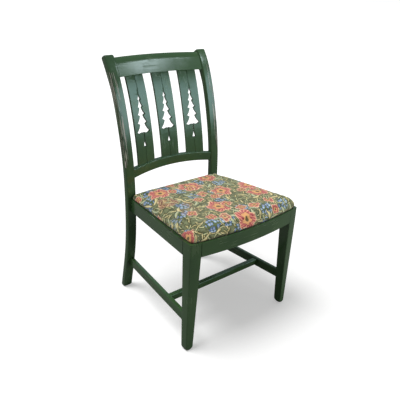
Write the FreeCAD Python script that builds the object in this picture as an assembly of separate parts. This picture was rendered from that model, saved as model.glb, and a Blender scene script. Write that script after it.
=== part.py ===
import FreeCAD, Part
import math
import os

from FreeCAD import Vector

os.makedirs("parts", exist_ok=True)

# Overall sizes of the chair, in millimetres. It faces -Y and stands on Z = 0.
seat_height = 430.0
back_height = 937.0
front_width = 506.0
rear_width = 450.0
seat_depth = 422.0
seat_drop = 9.0
front_bow = 24.6

# Front legs: square at the rails, tapered below them, outer side faces upright
leg_top = 41.5
leg_foot = 28.0
leg_front_taper = 8.0
leg_arris = 3.0
foot_ease = 3.5

# Back posts: one sawn curve from the raked foot to the rolled top
post_width = 38.0
post_depth = 23.0
post_arris = 4.0
post_foot_ease = 3.0
post_lean = 0.5
post_top_lean = 36.0
post_top_round = 8.0
post_foot_rake = 53.0
post_top_rake = 123.0
post_curve_height_shares = (0.21, 0.455, 0.59, 0.74, 0.89)
post_foot_rake_share = 0.23
post_top_rake_shares = (0.055, 0.256, 0.585)

# Seat rails
rail_height = 52.0
front_rail_thickness = 24.0
side_rail_thickness = 22.0
rear_rail_thickness = 24.0
rear_rail_forward = 12.0
rail_scribe = 2.0
rail_arris = 2.0
rail_rear_inset = 15.5
lip_width = 6.0
rabbet_depth = 10.0

# Stretchers
side_stretcher_height = 35.0
side_stretcher_thickness = 15.0
side_stretcher_top = 144.0
side_stretcher_rise = 9.0
side_stretcher_inset = 9.0
cross_stretcher_height = 24.0
cross_stretcher_depth = 20.0
cross_stretcher_back = 145.0
stretcher_arris = 3.0

# Back rails, both curved in plan, the lower one also arched
back_curve = 18.0
back_rail_recess = 5.0
crest_bottom_drop = 73.5
crest_face_drop = 32.0
crest_top_drop = 10.0
crest_thickness = 21.0
crest_roll_back = 22.0
crest_arris = 4.0
lower_rail_rise = 71.0
lower_rail_height = 35.0
lower_rail_thickness = 21.0
lower_rail_arch = 13.7
lower_rail_arris = 2.5

# Three pairs of half-slats, each pair sawn out to a pine tree
slat_half_width = 40.0
slat_thickness = 9.0
slat_pitch = 120.0
slat_fan = 1.3
slat_recess = 6.0
slat_housing = 12.0
tree_drop_share = 0.179
tree_height_share = 0.446
trunk_length_share = 0.159
trunk_half_width = 2.6
seam_groove = 1.2
tier_drop_shares = (0.175, 0.355, 0.545, 0.749, 0.974)
tier_width_shares = (0.193, 0.30, 0.448, 0.585, 0.766)
neck_drop_shares = (0.207, 0.386, 0.573, 0.789)
neck_width_shares = (0.093, 0.16, 0.224, 0.33)
tier_flare_share = 0.30
base_lobe_share = 0.52
base_dip_share = 0.022
trunk_foot_start_share = 0.62
trunk_foot_width_share = 0.205

# Upholstered drop-in seat
board_thickness = 9.0
seat_clearance = 1.0
cover_thickness = 1.2
cover_hem = 50.0
cloth_thickness = 0.8
cloth_inset = 36.0
cushion_crown = 33.5
cushion_bulge = 6.0
crown_inset = 30.0
crown_shift_share = 0.85
crown_tilt = 1.38
crown_steps = 7
side_wall_share = 0.3
front_corner_radius = 16.0
rear_corner_radius = 10.0
seat_rear_gap = 7.0
corner_growth_share = 0.15
staple_width = 11.0
staple_wire = 1.0
staple_pitch = 58.0

# Joinery
tenon_thickness = 9.0
tenon_shoulder = 6.0
tenon_length = 14.0
rear_tenon_length = 9.0
side_tenon_shift = 4.0
fit_gap = 0.15
block_size = 112.0
block_height = 34.0
block_drop = 3.0
block_gap = 0.5
screw_shank = 4.0
screw_head = 8.0
screw_head_height = 2.6
screw_bite = 14.0
screw_seat = 12.0
screw_setback = 70.0
overrun = 60.0

half_front = front_width / 2
half_rear = rear_width / 2
rail_half_rear = half_rear - rail_rear_inset
bow_radius = (half_front ** 2 + front_bow ** 2) / (2 * front_bow)
bow_centre = bow_radius - seat_depth - front_bow
side_angle = math.atan((half_front - rail_half_rear) / seat_depth)
seat_angle = math.degrees(math.atan(seat_drop / seat_depth))
rail_bottom = seat_height - rail_height
crest_bottom = back_height - crest_bottom_drop
crest_face_top = back_height - crest_face_drop
crest_top = back_height - crest_top_drop
lower_rail_bottom = seat_height + lower_rail_rise
slat_length = crest_bottom - lower_rail_bottom - lower_rail_height
tree_top = crest_bottom - slat_length * tree_drop_share
tree_height = slat_length * tree_height_share
trunk_length = slat_length * trunk_length_share


def bow_line(x):
    """Y of the bowed front at a distance x from the middle: a circular arc through the leg corners."""
    return bow_centre - math.sqrt(bow_radius ** 2 - x ** 2)


def seat_plane(y):
    """Height of the rail tops, which fall evenly towards the back."""
    return seat_height - seat_drop * (y + seat_depth) / seat_depth


def polygon_face(points):
    return Part.Face(Part.makePolygon(points + points[:1]))


def rounded_wire(corners, radius):
    """A closed wire through the corners, each of them rounded off by an arc of the radius."""
    edges = []
    count = len(corners)
    arcs = []
    for i in range(count):
        corner = corners[i]
        before = (corners[i - 1] - corner).normalize()
        after = (corners[(i + 1) % count] - corner).normalize()
        half_turn = before.getAngle(after) / 2
        reach = radius / math.tan(half_turn)
        middle = (before + after).normalize()
        touch = radius / math.sin(half_turn) - radius
        arcs.append((corner + before * reach, corner + middle * touch, corner + after * reach))
    for i in range(count):
        edges.append(Part.Arc(*arcs[i]).toShape())
        edges.append(Part.makeLine(arcs[i][2], arcs[(i + 1) % count][0]))
    return Part.Wire(edges)


def bar(front_corners, rear_corners, radius):
    """A straight bar between two four-cornered end sections with eased long edges."""
    ends = [rounded_wire(front_corners, radius), rounded_wire(rear_corners, radius)]
    return Part.makeLoft(ends, True, True)


def section(x_low, x_high, y, z_low, z_high):
    return [Vector(x_low, y, z_low), Vector(x_high, y, z_low),
            Vector(x_high, y, z_high), Vector(x_low, y, z_high)]


def mirrored(shape):
    return shape.mirror(Vector(0, 0, 0), Vector(1, 0, 0))


def one_solid(shape):
    return max(shape.Solids, key=lambda solid: solid.Volume)


# Curve of the post fronts, from the foot through the seat to the top, as Y over Z
top_angle = math.radians(post_top_lean)
post_front_top = back_height - post_top_round * (1 - math.sin(top_angle))
foot_share = post_curve_height_shares[0]
post_front_points = [Vector(0, post_foot_rake, 0)]
post_front_points.append(Vector(0, post_foot_rake * post_foot_rake_share, back_height * foot_share))
post_front_points.append(Vector(0, 0, back_height * post_curve_height_shares[1]))
for height_share, rake_share in zip(post_curve_height_shares[2:], post_top_rake_shares):
    post_front_points.append(Vector(0, post_top_rake * rake_share, back_height * height_share))
post_front_points.append(Vector(0, post_top_rake, post_front_top))
post_top_tangent = Vector(0, math.sin(top_angle), math.cos(top_angle))
foot_slope = post_foot_rake * (1 - post_foot_rake_share) / (back_height * foot_share)
post_foot_tangent = Vector(0, -foot_slope, 1).normalize()


def smooth_curve(points):
    curve = Part.BSplineCurve()
    curve.interpolate(Points=points, InitialTangent=post_foot_tangent, FinalTangent=post_top_tangent)
    return curve


post_front = smooth_curve(post_front_points)


def behind(distance):
    """The post curve moved back by a distance along its own normals."""
    moved = []
    for point in post_front_points:
        along = Vector(*post_front.tangent(post_front.parameter(point))[0])
        moved.append(point + Vector(0, along.z, -along.y) * distance)
    return smooth_curve(moved)


def front_line(z):
    """Y of the post fronts at a height, read from the curve."""
    level = Part.Line(Vector(0, 0, z), Vector(0, 1, z))
    hits = post_front.intersect(level)
    return hits[0].Y


# Front legs
def leg_section(x_outer, y_front, size, z, inset):
    skew = (bow_line(half_front - leg_top) + seat_depth) * size / leg_top
    return [
        Vector(x_outer - inset, y_front + inset, z),
        Vector(x_outer - inset, y_front + size - inset, z),
        Vector(x_outer - size + inset, y_front + size - inset, z),
        Vector(x_outer - size + inset, y_front + skew + inset, z),
    ]


def front_leg():
    foot_front = -seat_depth + leg_front_taper
    sections = [
        leg_section(half_front, foot_front, leg_foot, 0, foot_ease),
        leg_section(half_front, foot_front, leg_foot, foot_ease, 0),
        leg_section(half_front, -seat_depth, leg_top, rail_bottom, 0),
        leg_section(half_front, -seat_depth, leg_top, seat_height, 0),
    ]
    return Part.makeLoft([rounded_wire(points, leg_arris) for points in sections], True, True)


# Back posts
def back_post():
    front = post_front
    back = behind(post_depth)
    start = front.StartPoint
    end = front.EndPoint
    back_start = back.StartPoint
    back_end = back.EndPoint
    below = post_foot_tangent * (-overrun)
    across = (back_end - end).normalize() * post_top_round
    rise = post_top_tangent * post_top_round
    turn = math.sqrt(0.5)
    edges = [
        Part.makeLine(start + below, start),
        front.toShape(),
        Part.Arc(end, end + across * (1 - turn) + rise * turn, end + across + rise).toShape(),
        Part.makeLine(end + across + rise, back_end - across + rise),
        Part.Arc(back_end - across + rise, back_end - across * (1 - turn) + rise * turn, back_end).toShape(),
        back.toShape(),
        Part.makeLine(back_start, back_start + below),
        Part.makeLine(back_start + below, start + below),
    ]
    profile = Part.Face(Part.Wire(Part.__sortEdges__(edges)))
    post = profile.extrude(Vector(post_width, 0, 0))
    long_edges = [edge for edge in post.Edges if is_side_edge(edge)]
    post = post.makeFillet(post_arris, long_edges)
    post.translate(Vector(half_rear - post_width, 0, 0))
    post.rotate(Vector(half_rear, 0, seat_height), Vector(0, 1, 0), post_lean)
    floor = Part.makeBox(front_width, seat_depth * 2, overrun * 2, Vector(0, -seat_depth, -overrun * 2))
    return one_solid(post.cut([floor, foot_planing()]))


def foot_planing():
    """What is planed off a post round its sole: a slab on the floor less a block that widens upwards."""
    outer = half_rear - math.tan(math.radians(post_lean)) * seat_height
    inner = outer - post_width
    rear = post_foot_rake + post_depth * math.hypot(1, foot_slope)
    ease = post_foot_ease
    back = foot_slope * ease
    spread = fit_gap
    low = [Vector(inner + ease, post_foot_rake + ease, 0), Vector(outer - ease, post_foot_rake + ease, 0),
           Vector(outer - ease, rear - ease, 0), Vector(inner + ease, rear - ease, 0)]
    high = [Vector(inner - spread, post_foot_rake - back - spread, ease),
            Vector(outer + spread, post_foot_rake - back - spread, ease),
            Vector(outer + spread, rear - back + spread, ease),
            Vector(inner - spread, rear - back + spread, ease)]
    block = Part.makeLoft([Part.makePolygon(points + points[:1]) for points in (low, high)], True, True)
    slab = Part.makeBox(front_width, seat_depth, ease, Vector(0, 0, 0))
    return slab.cut(block)


def is_side_edge(edge):
    """Long edges of the extruded post lie in its two side faces and above its cut-off end."""
    box = edge.BoundBox
    return box.XLength < post_arris and box.ZMax > -fit_gap


def outboard():
    """All that lies beyond a post's inner face, for cutting the shoulders of what spans the posts."""
    size = front_width + back_height
    block = Part.makeBox(size, 2 * size, 2 * size, Vector(half_rear - post_width, -size, -size))
    block.rotate(Vector(half_rear, 0, seat_height), Vector(0, 1, 0), post_lean)
    return block


right_leg = front_leg()
right_post = back_post()
both_legs = [mirrored(right_leg), right_leg]
beyond_posts = [mirrored(outboard()), outboard()]


# Seat rails
def front_rail_blank(gap):
    """Front rail bent to the bow, the same thickness all along."""
    reach = half_front - leg_top
    depth = Vector(0, front_rail_thickness + gap, 0)
    ends = [Vector(-reach, bow_line(reach), rail_bottom), Vector(reach, bow_line(reach), rail_bottom)]
    apex = Vector(0, bow_line(0), rail_bottom)
    edges = [
        Part.Arc(ends[0], apex, ends[1]).toShape(),
        Part.makeLine(ends[1], ends[1] + depth),
        Part.Arc(ends[1] + depth, apex + depth, ends[0] + depth).toShape(),
        Part.makeLine(ends[0] + depth, ends[0]),
    ]
    return Part.Face(Part.Wire(edges)).extrude(Vector(0, 0, rail_height))


def tenon_box(x_low, x_high, y_low, y_high, z_low, z_high, gap):
    size = (x_high - x_low + 2 * gap, y_high - y_low + 2 * gap, z_high - z_low + 2 * gap)
    return Part.makeBox(*size, Vector(x_low - gap, y_low - gap, z_low - gap))


def front_rail_tenon(gap):
    root = half_front - leg_top
    middle = bow_line(root) + front_rail_thickness / 2
    low, high = middle - tenon_thickness / 2, middle + tenon_thickness / 2
    return tenon_box(root - tenon_length, root + tenon_length, low, high, rail_bottom + tenon_shoulder,
                     seat_height - rabbet_depth - tenon_shoulder, gap)


def side_rail_x(y):
    """Outer face of the right side rail: straight from the leg's back corner to the post."""
    share = (y + seat_depth - leg_top) / (seat_depth - leg_top)
    return half_front + (rail_half_rear - half_front) * share


def side_rail_section(y, thickness, shoulder, top, shift):
    outer = side_rail_x(y) - (side_rail_thickness - thickness) / 2 + shift
    return section(outer - thickness, outer, y, seat_plane(y) - rail_height + shoulder, seat_plane(y) - top)


def side_rail_blank():
    front, rear = -seat_depth + leg_top, rail_scribe
    return bar(side_rail_section(front, side_rail_thickness, 0, 0, 0),
               side_rail_section(rear, side_rail_thickness, 0, 0, 0), rail_arris)


def side_rail_tenon(gap):
    """Tenons set off towards the outer face, clear of those of the rear rail."""
    front, rear = -seat_depth + leg_top - tenon_length - gap, tenon_length + gap
    top = rabbet_depth + tenon_shoulder - gap
    thickness, shoulder = tenon_thickness + 2 * gap, tenon_shoulder - gap
    ends = [side_rail_section(y, thickness, shoulder, top, side_tenon_shift) for y in (front, rear)]
    return Part.makeLoft([Part.makePolygon(points + points[:1]) for points in ends], True, True)


rear_rail_top = seat_plane(0)


def rear_rail_blank():
    reach = half_rear - post_width + rail_scribe
    return Part.makeBox(2 * reach, rear_rail_thickness, rail_height,
                        Vector(-reach, -rear_rail_forward, rear_rail_top - rail_height))


def rear_rail_tenon(gap):
    reach = half_rear - post_width + rear_tenon_length
    middle = rear_rail_thickness / 2 - rear_rail_forward + tenon_thickness
    low, high = middle - tenon_thickness / 2, middle + tenon_thickness / 2
    return tenon_box(-reach, reach, low, high, rear_rail_top - rail_height + tenon_shoulder,
                     rear_rail_top - rabbet_depth - tenon_shoulder, gap)


# Stretchers
def leg_outer_line(z):
    """Front leg's back face at a height: the taper runs evenly from the rail to the foot."""
    share = max(0, (rail_bottom - z) / rail_bottom)
    size = leg_top + (leg_foot - leg_top) * share
    return -seat_depth + leg_front_taper * share + size


stretcher_front = leg_outer_line(side_stretcher_top - side_stretcher_height / 2)
stretcher_rear = front_line(side_stretcher_top)


def side_stretcher_section(y, thickness, shoulder):
    share = (y - stretcher_front) / (stretcher_rear - stretcher_front)
    lean = math.tan(math.radians(post_lean)) * (seat_height - side_stretcher_top)
    front_outer = half_front - side_stretcher_inset
    outer = front_outer + (rail_half_rear - lean - front_outer) * share
    top = side_stretcher_top + side_stretcher_rise * share
    outer = outer - (side_stretcher_thickness - thickness) / 2
    return section(outer - thickness, outer, y, top - side_stretcher_height + shoulder, top - shoulder)


def side_stretcher_blank():
    front, rear = stretcher_front - tenon_length / 2, stretcher_rear + tenon_length / 2
    return bar(side_stretcher_section(front, side_stretcher_thickness, 0),
               side_stretcher_section(rear, side_stretcher_thickness, 0), stretcher_arris)


def side_stretcher_tenon(gap):
    front, rear = stretcher_front - tenon_length - gap, stretcher_rear + tenon_length + gap
    thickness = tenon_thickness + 2 * gap
    ends = [side_stretcher_section(y, thickness, tenon_shoulder - gap) for y in (front, rear)]
    return Part.makeLoft([Part.makePolygon(points + points[:1]) for points in ends], True, True)


cross_y = -seat_depth + cross_stretcher_back


def cross_stretcher_top():
    share = (cross_y - stretcher_front) / (stretcher_rear - stretcher_front)
    return side_stretcher_top + side_stretcher_rise * share - stretcher_arris


def cross_section(x, shoulder, gap):
    top = cross_stretcher_top() - shoulder + gap
    bottom = cross_stretcher_top() - cross_stretcher_height + shoulder - gap
    front = cross_y + shoulder - gap
    rear = cross_y + cross_stretcher_depth - shoulder + gap
    return [Vector(x, front, bottom), Vector(x, rear, bottom), Vector(x, rear, top), Vector(x, front, top)]


def cross_stretcher_reach(depth):
    y = cross_y + cross_stretcher_depth / 2
    outer = side_stretcher_section(y, side_stretcher_thickness, 0)[0].x
    return outer + depth


def cross_stretcher_blank():
    reach = cross_stretcher_reach(side_stretcher_thickness / 2)
    return bar(cross_section(-reach, 0, 0), cross_section(reach, 0, 0), stretcher_arris)


def cross_stretcher_tenon(gap):
    reach = cross_stretcher_reach(side_stretcher_thickness / 2 + gap)
    ends = [cross_section(x, tenon_shoulder, gap) for x in (-reach, reach)]
    return Part.makeLoft([Part.makePolygon(points + points[:1]) for points in ends], True, True)


# Back rails
rail_half_span = half_rear - post_width
plan_radius = (rail_half_span ** 2 + back_curve ** 2) / (2 * back_curve)
back_middle = back_rail_recess + back_curve
sweep_angle = math.degrees(math.asin((rail_half_span + post_width) / plan_radius))


def swept(face, axis_point, axis, angle):
    """A section carried both ways along an arc from the middle of the chair."""
    blank = face.copy()
    blank.rotate(axis_point, axis, -angle)
    return blank.revolve(axis_point, axis, 2 * angle)


def crest_point(z, back):
    return Vector(0, front_line(z) + back_middle + back, z)


plan_axis_point = Vector(0, front_line(crest_bottom) + back_middle - plan_radius, 0)


def crest_blank():
    front_low = crest_point(crest_bottom, 0)
    front_high = crest_point(crest_face_top, 0)
    top_back = Vector(0, front_high.y + crest_roll_back, crest_top)
    back_low = crest_point(crest_bottom, crest_thickness)
    back_high = Vector(0, top_back.y + crest_arris, crest_top - crest_arris * 2)
    roll = (front_high + top_back) * 0.5
    lean = (front_high - front_low).normalize()
    rise = (top_back - front_high).normalize()
    swell = front_high.distanceToPoint(top_back) * math.tan(lean.getAngle(rise) / 2) / 2
    bulge = Vector(0, -rise.z, rise.y) * swell
    edges = [
        Part.makeLine(front_low, front_high),
        Part.Arc(front_high, roll + bulge, top_back).toShape(),
        Part.makeLine(top_back, back_high),
        Part.makeLine(back_high, back_low),
        Part.makeLine(back_low, front_low),
    ]
    return swept(Part.Face(Part.Wire(edges)), plan_axis_point, Vector(0, 0, 1), sweep_angle)


def crest_tenon(gap):
    low, high = crest_bottom + tenon_shoulder - gap, crest_face_top + gap
    side = (crest_thickness - tenon_thickness) / 2 - gap
    corners = [crest_point(low, side), crest_point(low, crest_thickness - side),
               crest_point(high, crest_thickness - side), crest_point(high, side)]
    reach = math.degrees(math.asin((rail_half_span + tenon_length + gap) / plan_radius))
    return swept(polygon_face(corners), plan_axis_point, Vector(0, 0, 1), reach)


# The lower rail bows back and up at once, so its arc lies in a leaning plane
rail_bow = math.hypot(back_curve, lower_rail_arch)
lower_radius = (rail_half_span ** 2 + rail_bow ** 2) / (2 * rail_bow)
bow_way = Vector(0, back_curve / rail_bow, lower_rail_arch / rail_bow)
lower_axis = Vector(1, 0, 0).cross(bow_way)
lower_middle_z = lower_rail_bottom + lower_rail_height / 2 + lower_rail_arch
lower_middle_y = front_line(lower_rail_bottom + lower_rail_height / 2) + back_middle
lower_axis_point = Vector(0, lower_middle_y, lower_middle_z) - bow_way * lower_radius


def lower_rail_corners(shoulder_y, shoulder_z):
    low, high = lower_middle_z - lower_rail_height / 2, lower_middle_z + lower_rail_height / 2
    front, back = lower_middle_y + shoulder_y, lower_middle_y + lower_rail_thickness - shoulder_y
    return [Vector(0, front, low + shoulder_z), Vector(0, back, low + shoulder_z),
            Vector(0, back, high - shoulder_z), Vector(0, front, high - shoulder_z)]


def lower_rail_blank():
    face = Part.Face(rounded_wire(lower_rail_corners(0, 0), lower_rail_arris))
    reach = math.degrees(math.asin((rail_half_span + post_width / 2) / lower_radius))
    return swept(face, lower_axis_point, lower_axis, reach)


def lower_rail_tenon(gap):
    side = (lower_rail_thickness - tenon_thickness) / 2 - gap
    reach = math.degrees(math.asin((rail_half_span + tenon_length + gap) / lower_radius))
    face = polygon_face(lower_rail_corners(side, tenon_shoulder - gap))
    return swept(face, lower_axis_point, lower_axis, reach)


# Slats: boards bent to the post curve, with half a pine tree sawn from each inner edge
slat_low = lower_rail_bottom + lower_rail_height - fit_gap * 2
slat_high = crest_bottom + slat_housing


def slat_sheet(front_depth, back_depth):
    """A sheet between two depths behind the post curve, wide enough to saw any slat from."""
    front = behind(front_depth)
    back = behind(back_depth)
    edges = [front.toShape(), Part.makeLine(front.EndPoint, back.EndPoint), back.toShape(),
             Part.makeLine(back.StartPoint, front.StartPoint)]
    sheet = Part.Face(Part.Wire(Part.__sortEdges__(edges))).extrude(Vector(2 * slat_pitch, 0, 0))
    sheet.translate(Vector(-slat_pitch, back_middle + slat_recess, 0))
    return sheet


def slat_board(x_low, x_high, z_low, z_high, grow):
    board = Part.makeBox(x_high - x_low, seat_depth, z_high - z_low, Vector(x_low, 0, z_low))
    return slat_sheet(-grow, slat_thickness + grow).common(board)


def seam_cutter():
    """Strip sawn off the front of each inner edge, so that a pair meets in a narrow groove."""
    strip = Part.makeBox(seam_groove, seat_depth, slat_length + 2 * slat_housing,
                         Vector(0, 0, slat_low - slat_housing))
    return slat_sheet(-seam_groove, seam_groove).common(strip)


def tree_cutter():
    """Half a pine tree right of the seam: flared tiers, a lobed base, a trunk slit with a spread foot."""
    tiers = [Vector(slat_half_width * w, 0, tree_top - tree_height * d)
             for w, d in zip(tier_width_shares, tier_drop_shares)]
    necks = [Vector(slat_half_width * w, 0, tree_top - tree_height * d)
             for w, d in zip(neck_width_shares, neck_drop_shares)]
    starts = [Vector(0, 0, tree_top)] + necks
    edges = []
    for i in range(len(tiers)):
        chord = tiers[i] - starts[i]
        hollow = Vector(starts[i].x - tiers[i].x, 0, 0) * (tier_flare_share / 2)
        edges.append(Part.Arc(starts[i], starts[i] + chord * 0.5 + hollow, tiers[i]).toShape())
        if i < len(necks):
            edges.append(Part.makeLine(tiers[i], necks[i]))
    base = tree_top - tree_height
    dip = tree_height * base_dip_share
    lobe = Vector(tiers[-1].x * base_lobe_share, 0, base - dip)
    trunk_start = Vector(trunk_half_width, 0, base)
    edges.append(Part.Arc(tiers[-1], (tiers[-1] + lobe) * 0.5 + Vector(dip / 4, 0, -dip / 4), lobe).toShape())
    edges.append(Part.Arc(lobe, (lobe + trunk_start) * 0.5 + Vector(0, 0, dip / 5), trunk_start).toShape())
    spread = Vector(trunk_half_width, 0, base - trunk_length * trunk_foot_start_share)
    foot = Vector(slat_half_width * trunk_foot_width_share, 0, base - trunk_length)
    sole = Vector(0, 0, base - trunk_length)
    edges.append(Part.makeLine(trunk_start, spread))
    edges.append(Part.makeLine(spread, foot))
    edges.append(Part.makeLine(foot, sole))
    edges.append(Part.makeLine(sole, Vector(0, 0, tree_top)))
    return Part.Face(Part.Wire(edges)).extrude(Vector(0, seat_depth, 0))


def set_slat(shape, x):
    """Fans a slat out at the foot and swings it round the plan curve of the back to its place."""
    turned = shape.copy()
    turned.rotate(Vector(0, 0, crest_bottom), Vector(0, 1, 0), -slat_fan * x / slat_pitch)
    angle = math.asin(x / plan_radius)
    turned.rotate(plan_axis_point, Vector(0, 0, 1), -math.degrees(angle))
    return turned


# Seat outline in plan, grown or shrunk evenly from the board's edge
def side_edge(y, grow):
    inward = (lip_width + seat_clearance - grow) / math.cos(side_angle)
    return half_front - (y + seat_depth) * math.tan(side_angle) - inward


def front_corner(grow):
    """Where the side line meets the bowed front, both moved by the same growth: a line cut by a circle."""
    radius = bow_radius - lip_width - seat_clearance + grow
    slope = math.tan(side_angle)
    offset = side_edge(bow_centre, grow)
    a = 1 + slope ** 2
    b = slope * offset
    down = (b - math.sqrt(b ** 2 - a * (offset ** 2 - radius ** 2))) / a
    return Vector(offset - slope * down, bow_centre + down, 0)


def seat_outline(grow, z, front_round, rear_round):
    radius = bow_radius - lip_width - seat_clearance + grow
    rear = -seat_rear_gap + grow
    normal = Vector(math.cos(side_angle), math.sin(side_angle), 0)
    front_pivot = front_corner(grow - front_round)
    rear_pivot = Vector(side_edge(rear - rear_round, grow - rear_round), rear - rear_round, 0)
    outward = (front_pivot - Vector(0, bow_centre, 0)).normalize()
    right = [
        Vector(rear_pivot.x, rear, 0),
        rear_pivot + (normal + Vector(0, 1, 0)).normalize() * rear_round,
        rear_pivot + normal * rear_round,
        front_pivot + normal * front_round,
        front_pivot + (normal + outward).normalize() * front_round,
        front_pivot + outward * front_round,
    ]
    left = [Vector(-point.x, point.y, 0) for point in right]
    edges = [
        Part.makeLine(left[0], right[0]),
        Part.Arc(*right[0:3]).toShape(),
        Part.makeLine(right[2], right[3]),
        Part.Arc(*right[3:6]).toShape(),
        Part.Arc(right[5], Vector(0, bow_centre - radius, 0), left[5]).toShape(),
        Part.Arc(left[5], left[4], left[3]).toShape(),
        Part.makeLine(left[3], left[2]),
        Part.Arc(left[2], left[1], left[0]).toShape(),
    ]
    wire = Part.Wire(edges)
    wire.translate(Vector(0, 0, z))
    return wire


def seat_slab(grow, z_low, z_high):
    slab = Part.Face(seat_outline(grow, z_low, front_corner_radius, rear_corner_radius))
    return slab.extrude(Vector(0, 0, z_high - z_low))


def tilted(shape):
    """Seat pieces are drawn flat at the front rail's height and laid down on the falling rails."""
    turned = shape.copy()
    turned.rotate(Vector(0, -seat_depth, seat_height), Vector(1, 0, 0), -seat_angle)
    return turned


ledge = seat_height - rabbet_depth
board_low = ledge + cover_thickness
board_high = board_low + board_thickness
crown_rise = cushion_crown - (board_high - seat_height)


def crowned(grow, rise):
    """Cushion form: drawn in at the board, swelling above the rail, rolling in to a broad crown.
    The roll is rounder at the rear than at the front, and the crown is highest at the front."""
    wall = rise * side_wall_share
    steps = [(0, 0), (wall / 2, -cushion_bulge)]
    for step in range(crown_steps + 1):
        turn = math.pi / 2 * step / crown_steps
        inset = (crown_inset + cushion_bulge) * (1 - math.cos(turn)) - cushion_bulge
        steps.append((wall + (rise - wall) * math.sin(turn), inset))
    wires = []
    for height, inset in steps:
        growth = max(inset, 0) * corner_growth_share
        wire = seat_outline(grow - inset, board_high + height,
                            front_corner_radius + growth, rear_corner_radius + growth)
        wire.translate(Vector(0, -max(inset, 0) * crown_shift_share, 0))
        hinge = Vector(0, -seat_rear_gap, board_high + height)
        wire.rotate(hinge, Vector(1, 0, 0), -crown_tilt * height / rise)
        wires.append(wire)
    return Part.makeLoft(wires, True, True)


rabbet = tilted(seat_slab(seat_clearance, ledge, seat_height + overrun))


def fitted(blank, tenons, neighbours):
    """A member cut to its shoulders against its neighbours, then given its tenons."""
    return one_solid(one_solid(blank.cut(neighbours)).fuse(tenons).removeSplitter())


pieces = {}
front_tenon = front_rail_tenon(0)
front_rail = fitted(front_rail_blank(0), [front_tenon, mirrored(front_tenon)], both_legs)
right_side_rail = fitted(side_rail_blank(), [side_rail_tenon(0)], [right_post])
rear_rail = fitted(rear_rail_blank(), [rear_rail_tenon(0)], beyond_posts)
right_stretcher = fitted(side_stretcher_blank(), [side_stretcher_tenon(0)], [right_leg, right_post])
both_stretchers = [mirrored(right_stretcher), right_stretcher]
cross_stretcher = fitted(cross_stretcher_blank(), [cross_stretcher_tenon(0)], both_stretchers)
crest = fitted(crest_blank(), [crest_tenon(0)], beyond_posts)
lower_rail = fitted(lower_rail_blank(), [lower_rail_tenon(0)], beyond_posts)

leg_cuts = [front_rail_tenon(fit_gap), side_rail_tenon(fit_gap), side_stretcher_tenon(fit_gap), rabbet]
post_cuts = [side_rail_tenon(fit_gap), side_stretcher_tenon(fit_gap), rear_rail_tenon(fit_gap),
             crest_tenon(fit_gap), lower_rail_tenon(fit_gap)]
right_leg_done = one_solid(right_leg.cut(leg_cuts))
right_post_done = one_solid(right_post.cut(post_cuts))
right_stretcher_done = one_solid(right_stretcher.cut(cross_stretcher_tenon(fit_gap)))

# Half-slats and the housings that take their ends
half_slat = slat_board(0, slat_half_width, slat_low, slat_high, 0).cut([tree_cutter(), seam_cutter()])
half_slat = one_solid(half_slat)
housing = slat_board(-slat_half_width - fit_gap, slat_half_width + fit_gap,
                     slat_low - fit_gap, slat_high + fit_gap, fit_gap)
slat_places = {"left": -slat_pitch, "middle": 0, "right": slat_pitch}
for place, x in slat_places.items():
    pieces["slat_%s_pair_left_half" % place] = set_slat(mirrored(half_slat), x)
    pieces["slat_%s_pair_right_half" % place] = set_slat(half_slat, x)
housings = [set_slat(housing, x) for x in slat_places.values()]
crest = crest.cut(housings)
lower_rail = lower_rail.cut(housings)

# Corner blocks and their screws
def corner_block(corner, across, along, neighbours):
    """A triangular block in a corner of the seat frame, cut to the members that it is glued to."""
    base = Vector(corner.x, corner.y, corner.z - block_height)
    triangle = polygon_face([base, base + across * block_size, base + along * block_size])
    return one_solid(triangle.extrude(Vector(0, 0, block_height)).cut(neighbours))


def screw(seat, way, length, gap):
    """A flat-head screw: shank from its seat, head behind it in a counterbore."""
    shank = Part.makeCylinder(screw_shank / 2 + gap, length + gap, seat, way)
    reach = overrun if gap else screw_head_height
    head = Part.makeCylinder(screw_head / 2 + gap, reach, seat, way * -1)
    return shank.fuse(head).removeSplitter()


right = Vector(1, 0, 0)
ahead = Vector(0, -1, 0)
front_corner_point = Vector(half_front, -seat_depth, seat_plane(-seat_depth) - rabbet_depth - block_drop)
rear_corner_point = Vector(rail_half_rear, -block_gap, rear_rail_top - rabbet_depth - block_drop)
front_block = corner_block(front_corner_point, right * -1, ahead * -1,
                           [front_rail_blank(fit_gap), right_side_rail, right_leg])
rear_block = corner_block(rear_corner_point, right * -1, ahead, [rear_rail, right_side_rail, right_post])


def block_screws(gap):
    """Two screws to each right-hand block: one into the end rail, one into the side rail."""
    front_z = front_corner_point.z - block_height / 2
    rear_z = rear_corner_point.z - block_height / 2
    front_x = half_front - screw_setback
    rear_x = rail_half_rear - screw_setback
    side_y = -seat_depth + screw_setback
    back_y = -screw_setback
    off_side = side_rail_thickness + screw_seat
    front_seat = Vector(front_x, bow_line(front_x) + front_rail_thickness + screw_seat, front_z)
    side_seat = Vector(side_rail_x(side_y) - off_side, side_y, front_z)
    rear_seat = Vector(rear_x, -rear_rail_forward - screw_seat, rear_z)
    back_seat = Vector(side_rail_x(back_y) - off_side, back_y, rear_z)
    length = screw_seat + screw_bite
    return [screw(front_seat, ahead, length, gap), screw(side_seat, right, length, gap),
            screw(rear_seat, ahead * -1, length, gap), screw(back_seat, right, length, gap)]


right_holes = block_screws(fit_gap)
all_holes = right_holes + [mirrored(hole) for hole in right_holes]
front_rail = front_rail.cut(all_holes + [rabbet])
rear_rail = rear_rail.cut(all_holes + [rabbet])
right_side_rail = one_solid(right_side_rail.cut(right_holes + [rabbet]))
front_block = one_solid(front_block.cut(right_holes))
rear_block = one_solid(rear_block.cut(right_holes))
right_screws = block_screws(0)
screws = Part.makeCompound(right_screws + [mirrored(item) for item in right_screws])

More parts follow.
